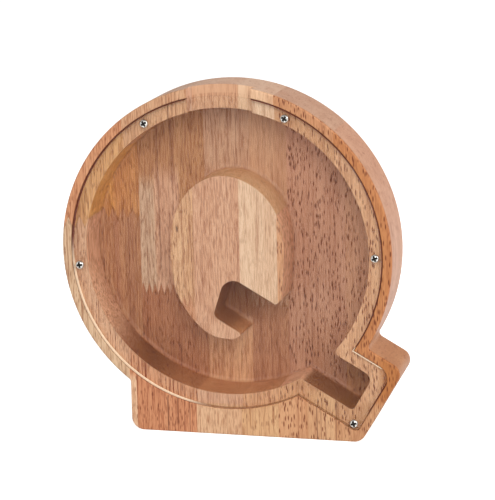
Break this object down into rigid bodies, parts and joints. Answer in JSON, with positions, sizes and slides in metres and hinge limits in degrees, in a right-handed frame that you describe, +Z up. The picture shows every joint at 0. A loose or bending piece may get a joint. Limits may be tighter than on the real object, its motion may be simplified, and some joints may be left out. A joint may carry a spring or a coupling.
{
  "type": "letter-shaped wooden money box",
  "caption": "Wooden coin bank shaped like a capital letter Q, routed from a glued-up block, with a clear window screwed over its pocket and a coin slot in the top rim.",
  "frame": {"origin": "on the resting face of the foot, straight below the centre of the ring, half way through the thickness of the block", "axes": "+X to the right seen from the front, +Y towards the back, +Z up"},
  "size_m": [0.2124, 0.0397, 0.219],
  "materials": {
    "wood_golden": "sanded and matt oiled",
    "wood_rose": "sanded and matt oiled",
    "wood_tan": "sanded and matt oiled",
    "wood_streaked": "sanded and matt oiled",
    "wood_pink": "sanded and matt oiled",
    "wood_pale": "sanded and matt oiled",
    "wood_biscuit": "sanded and matt oiled",
    "wood_flecked": "sanded and matt oiled",
    "wood_freckled": "sanded and matt oiled",
    "clear_acrylic": "clear, polished",
    "screw_steel": "bright plated"
  },
  "bodies": {
    "case": {"left_stave_upper": "wood_golden", "left_stave_lower": "wood_rose", "mid_left_stave_upper": "wood_tan", "mid_left_stave_lower": "wood_streaked", "centre_stave": "wood_pink", "mid_right_stave_upper": "wood_pale", "mid_right_stave_lower": "wood_biscuit", "right_stave": "wood_flecked", "tail_stave": "wood_freckled"},
    "window": {"window": "clear_acrylic"},
    "screw_top_left": {"screw_top_left": "screw_steel"},
    "screw_top_right": {"screw_top_right": "screw_steel"},
    "screw_left": {"screw_left": "screw_steel"},
    "screw_right": {"screw_right": "screw_steel"},
    "screw_tail": {"screw_tail": "screw_steel"}
  },
  "joints": [
    {"name": "window_lift", "type": "slide", "parent": "case", "child": "window", "axis": [0, -1, 0], "range_m": [0, 0.06]},
    {"name": "screw_top_left_travel", "type": "slide", "parent": "window", "child": "screw_top_left", "axis": [0, -1, 0], "range_m": [0, 0.0125]},
    {"name": "screw_top_right_travel", "type": "slide", "parent": "window", "child": "screw_top_right", "axis": [0, -1, 0], "range_m": [0, 0.0125]},
    {"name": "screw_left_travel", "type": "slide", "parent": "window", "child": "screw_left", "axis": [0, -1, 0], "range_m": [0, 0.0125]},
    {"name": "screw_right_travel", "type": "slide", "parent": "window", "child": "screw_right", "axis": [0, -1, 0], "range_m": [0, 0.0125]},
    {"name": "screw_tail_travel", "type": "slide", "parent": "window", "child": "screw_tail", "axis": [0, -1, 0], "range_m": [0, 0.0125]}
  ]
}
